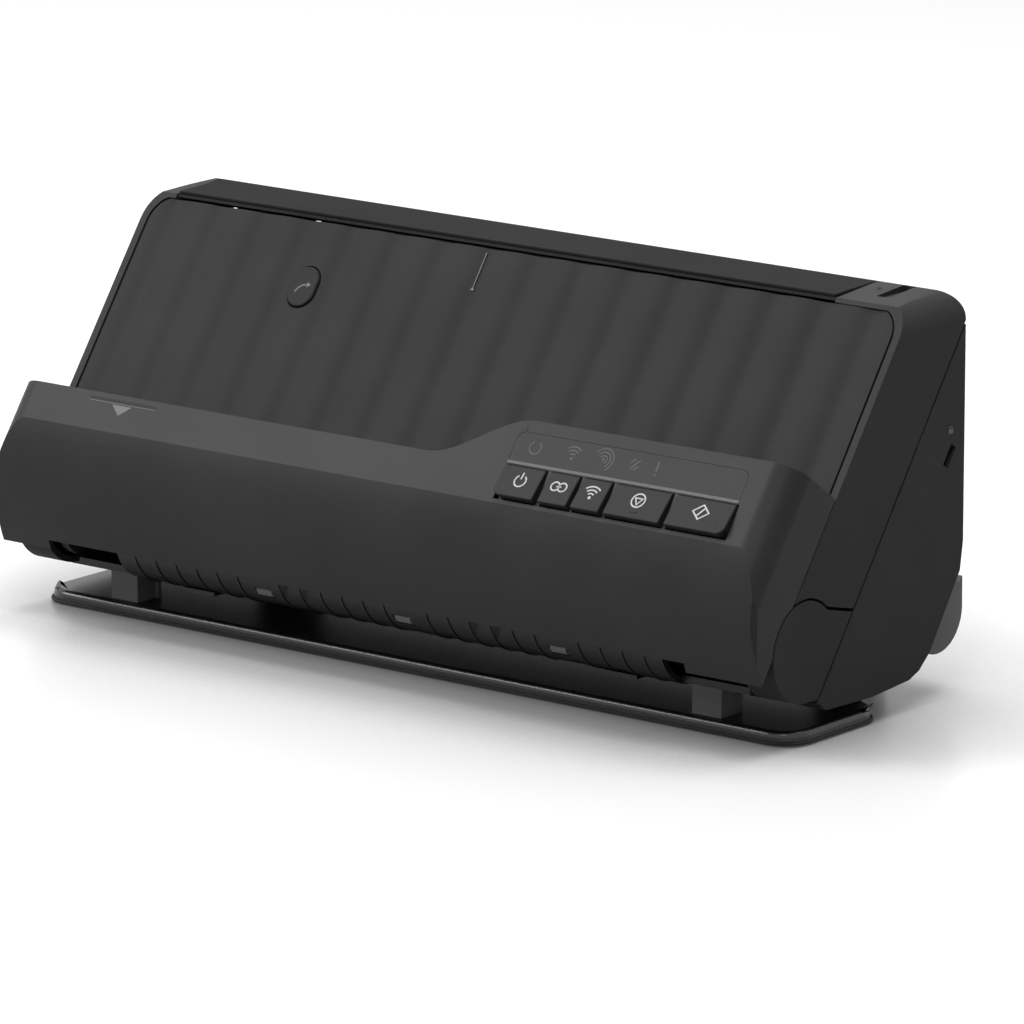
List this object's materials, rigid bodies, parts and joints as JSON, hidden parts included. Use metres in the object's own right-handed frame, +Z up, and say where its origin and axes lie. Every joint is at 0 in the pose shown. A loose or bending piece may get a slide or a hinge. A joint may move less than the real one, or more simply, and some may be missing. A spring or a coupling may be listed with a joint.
{
  "type": "sheet fed document scanner",
  "caption": "Compact sheet fed document scanner: leaning scan unit on a flat tilting stand, folding input tray, ribbed panel, bulging front cover with control panel.",
  "frame": {"origin": "centre of the footprint of the whole machine, on the surface it stands on", "axes": "+X across the machine, to the right of someone in front of it; +Y to the back; +Z up"},
  "size_m": [0.3, 0.1128, 0.1264],
  "materials": {
    "base_black": "fine moulded grain",
    "shell_dark": "fine moulded grain",
    "panel_ribbed": "fine moulded grain",
    "front_plastic": "fine moulded grain",
    "tray_plastic": "fine moulded grain",
    "button_plastic": "fine moulded grain",
    "window_gloss": "smooth, smoked",
    "strip_pale": "satin",
    "stand_grey": "fine moulded grain",
    "guide_black": "smooth, low sheen",
    "sensor_grey": "smooth",
    "roller_grey": "smooth",
    "board_green": "solder mask",
    "roller_rubber": "matt",
    "foot_rubber": "matt",
    "steel": "turned or pressed",
    "clear_glass": "polished"
  },
  "bodies": {
    "stand": {"base_plate": "base_black", "base_skirt": "shell_dark", "foot_pads": "foot_rubber", "front_posts": "stand_grey", "rear_arms": "stand_grey", "tilt_shafts": "steel", "base_screws": "steel"},
    "main_unit": {"rear_cover": "shell_dark", "cover_screws": "steel", "left_frame": "steel", "right_frame": "steel", "pivot_pins": "steel", "side_caps": "shell_dark", "tilt_lugs": "shell_dark", "rear_guide": "guide_black", "exit_guide": "guide_black", "tray_brackets": "shell_dark", "rear_sensor": "sensor_grey", "rear_glass": "clear_glass", "main_board": "board_green", "usb_inlet": "steel", "dc_inlet": "guide_black", "drive_motor": "steel", "feed_belt": "roller_rubber", "drum_belt": "roller_rubber"},
    "drive_gear": {"motor_gear": "roller_grey"},
    "feed_shaft": {"feed_roller": "roller_rubber"},
    "transport_shaft": {"transport_roller": "roller_rubber"},
    "exit_shaft": {"exit_roller": "roller_grey"},
    "drum": {"drum_roller": "roller_rubber"},
    "scanner_cover": {"cover_shell": "shell_dark", "ribbed_panel": "panel_ribbed", "front_guide": "guide_black", "turn_guide": "guide_black", "cover_eyes": "shell_dark", "front_sensor": "sensor_grey", "front_glass": "clear_glass"},
    "separation_shaft": {"separation_roller": "roller_rubber"},
    "pinch_shaft": {"pinch_roller": "roller_rubber"},
    "release": {"release_button": "panel_ribbed"},
    "output_cover": {"front_cover": "front_plastic", "front_eyes": "shell_dark", "indicator_window": "window_gloss", "light_strip": "strip_pale", "panel_board": "board_green"},
    "power_key": {"power_button": "button_plastic"},
    "link_key": {"link_button": "button_plastic"},
    "wireless_key": {"wireless_button": "button_plastic"},
    "stop_key": {"stop_button": "button_plastic"},
    "start_key": {"start_button": "button_plastic"},
    "input_tray": {"tray_flap": "shell_dark", "tray_pins": "steel"},
    "extension": {"tray_extension": "tray_plastic"},
    "left_fence": {"left_edge_guide": "button_plastic"},
    "right_fence": {"right_edge_guide": "button_plastic"}
  },
  "joints": [
    {"name": "tilt", "type": "hinge", "parent": "stand", "child": "main_unit", "pos_m": [0, 0.0436, 0.026], "axis": [-1, 0, 0], "range_deg": [0, 25]},
    {"name": "cover_open", "type": "hinge", "parent": "main_unit", "child": "scanner_cover", "pos_m": [0, -0.031, 0.0292], "axis": [1, 0, 0], "range_deg": [0, 42]},
    {"name": "output_cover_open", "type": "hinge", "parent": "scanner_cover", "child": "output_cover", "pos_m": [0, -0.031, 0.0292], "axis": [1, 0, 0], "range_deg": [0, 15]},
    {"name": "tray_open", "type": "hinge", "parent": "main_unit", "child": "input_tray", "pos_m": [0, 0.0496, 0.116], "axis": [-1, 0, 0], "range_deg": [0, 131]},
    {"name": "extension_unfold", "type": "hinge", "parent": "input_tray", "child": "extension", "pos_m": [0, 0.0212, 0.1246], "axis": [1, 0, 0], "range_deg": [0, 180]},
    {"name": "left_fence_slide", "type": "slide", "parent": "input_tray", "child": "left_fence", "axis": [1, 0, 0], "range_m": [0, 0.061]},
    {"name": "right_fence_slide", "type": "slide", "parent": "input_tray", "child": "right_fence", "axis": [-1, 0, 0], "range_m": [0, 0.061]},
    {"name": "transport_spin", "type": "hinge", "parent": "main_unit", "child": "transport_shaft", "pos_m": [0, 0.01008, 0.05145], "axis": [1, 0, 0], "continuous": true},
    {"name": "gear_spin", "type": "hinge", "parent": "main_unit", "child": "drive_gear", "pos_m": [-0.14, 0.01, 0.03], "axis": [1, 0, 0], "continuous": true},
    {"name": "feed_spin", "type": "hinge", "parent": "main_unit", "child": "feed_shaft", "pos_m": [0, 0.03691, 0.08635], "axis": [1, 0, 0], "continuous": true},
    {"name": "drum_spin", "type": "hinge", "parent": "main_unit", "child": "drum", "pos_m": [0, -0.031, 0.0292], "axis": [1, 0, 0], "continuous": true},
    {"name": "exit_spin", "type": "hinge", "parent": "main_unit", "child": "exit_shaft", "pos_m": [0, -0.04172, 0.02052], "axis": [1, 0, 0], "continuous": true},
    {"name": "separation_spin", "type": "hinge", "parent": "scanner_cover", "child": "separation_shaft", "pos_m": [0, 0.02447, 0.09526], "axis": [1, 0, 0], "continuous": true},
    {"name": "pinch_spin", "type": "hinge", "parent": "scanner_cover", "child": "pinch_shaft", "pos_m": [0, 0.00008, 0.05861], "axis": [1, 0, 0], "continuous": true},
    {"name": "release_press", "type": "slide", "parent": "scanner_cover", "child": "release", "axis": [0, 0.8131, -0.5821], "range_m": [0, 0.0018], "stiffness_N_per_m": 400, "springref_m": -0.001},
    {"name": "power_press", "type": "slide", "parent": "output_cover", "child": "power_key", "axis": [0, 0.8131, -0.5821], "range_m": [0, 0.001], "stiffness_N_per_m": 400, "springref_m": -0.001},
    {"name": "link_press", "type": "slide", "parent": "output_cover", "child": "link_key", "axis": [0, 0.8131, -0.5821], "range_m": [0, 0.001], "stiffness_N_per_m": 400, "springref_m": -0.001},
    {"name": "wireless_press", "type": "slide", "parent": "output_cover", "child": "wireless_key", "axis": [0, 0.8131, -0.5821], "range_m": [0, 0.001], "stiffness_N_per_m": 400, "springref_m": -0.001},
    {"name": "stop_press", "type": "slide", "parent": "output_cover", "child": "stop_key", "axis": [0, 0.8131, -0.5821], "range_m": [0, 0.001], "stiffness_N_per_m": 400, "springref_m": -0.001},
    {"name": "start_press", "type": "slide", "parent": "output_cover", "child": "start_key", "axis": [0, 0.8131, -0.5821], "range_m": [0, 0.001], "stiffness_N_per_m": 400, "springref_m": -0.001}
  ],
  "couplings": [
    {"joint": "gear_spin", "follows": "transport_spin", "ratio": -0.34375},
    {"joint": "feed_spin", "follows": "transport_spin", "ratio": 0.8},
    {"joint": "drum_spin", "follows": "transport_spin", "ratio": -0.46063},
    {"joint": "exit_spin", "follows": "transport_spin", "ratio": 2.0267},
    {"joint": "right_fence_slide", "follows": "left_fence_slide", "ratio": 1}
  ]
}
